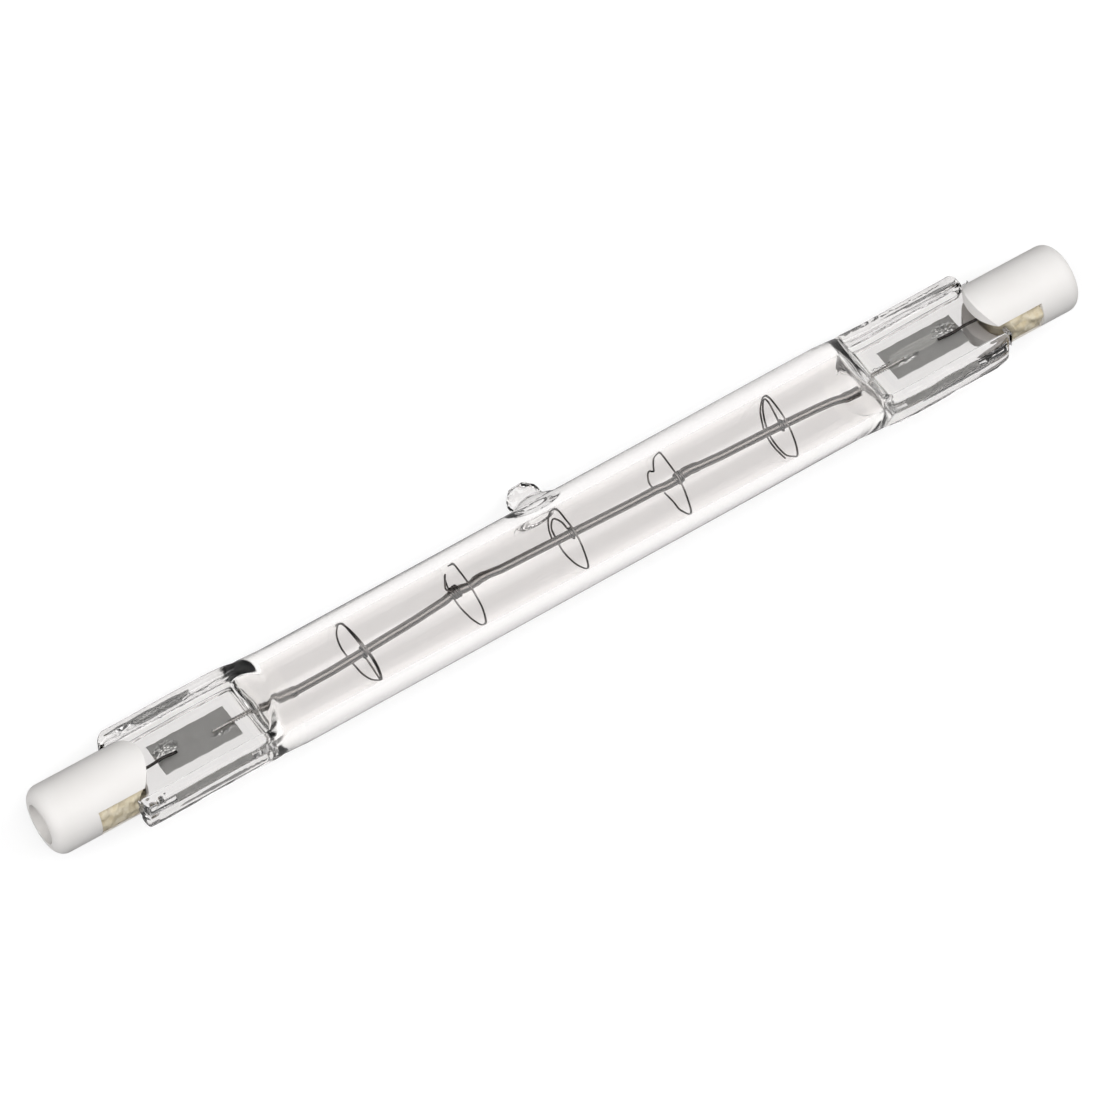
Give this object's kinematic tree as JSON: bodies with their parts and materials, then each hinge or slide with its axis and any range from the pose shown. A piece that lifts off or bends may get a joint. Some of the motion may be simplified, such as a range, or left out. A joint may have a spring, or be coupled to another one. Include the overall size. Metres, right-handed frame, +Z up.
{
  "type": "quartz heating tube",
  "caption": "Clear quartz linear heat lamp with a coiled filament on wire support rings, pinch-sealed ends and slotted ceramic end caps with recessed contacts.",
  "frame": {"origin": "on the lamp's axis, midway between the outer faces of the two end caps", "axes": "+X along the lamp's axis towards the right cap, +Z up with the lamp lying at rest on its tube and exhaust tip, +Y towards the tip's side"},
  "size_m": [0.1176, 0.0122, 0.01],
  "materials": {
    "fused_quartz": "clear, fire polished",
    "molybdenum_foil": "dull rolled foil",
    "molybdenum_wire": "drawn wire",
    "tungsten_coil": "coiled wire, satin",
    "tungsten_wire": "drawn wire",
    "steatite": "smooth unglazed",
    "cement": "rough, matt",
    "nickel": "satin"
  },
  "bodies": {
    "root": {"quartz_envelope": "fused_quartz", "foil_left": "molybdenum_foil", "foil_right": "molybdenum_foil", "outer_lead_left": "molybdenum_wire", "outer_lead_right": "molybdenum_wire", "inner_lead_left": "molybdenum_wire", "inner_lead_right": "molybdenum_wire", "filament": "tungsten_coil", "support_ring_1": "tungsten_wire", "support_ring_2": "tungsten_wire", "support_ring_3": "tungsten_wire", "support_ring_4": "tungsten_wire", "support_ring_5": "tungsten_wire", "cap_left": "steatite", "cap_right": "steatite", "cement_left": "cement", "cement_right": "cement", "contact_left": "nickel", "contact_right": "nickel"}
  },
  "joints": []
}
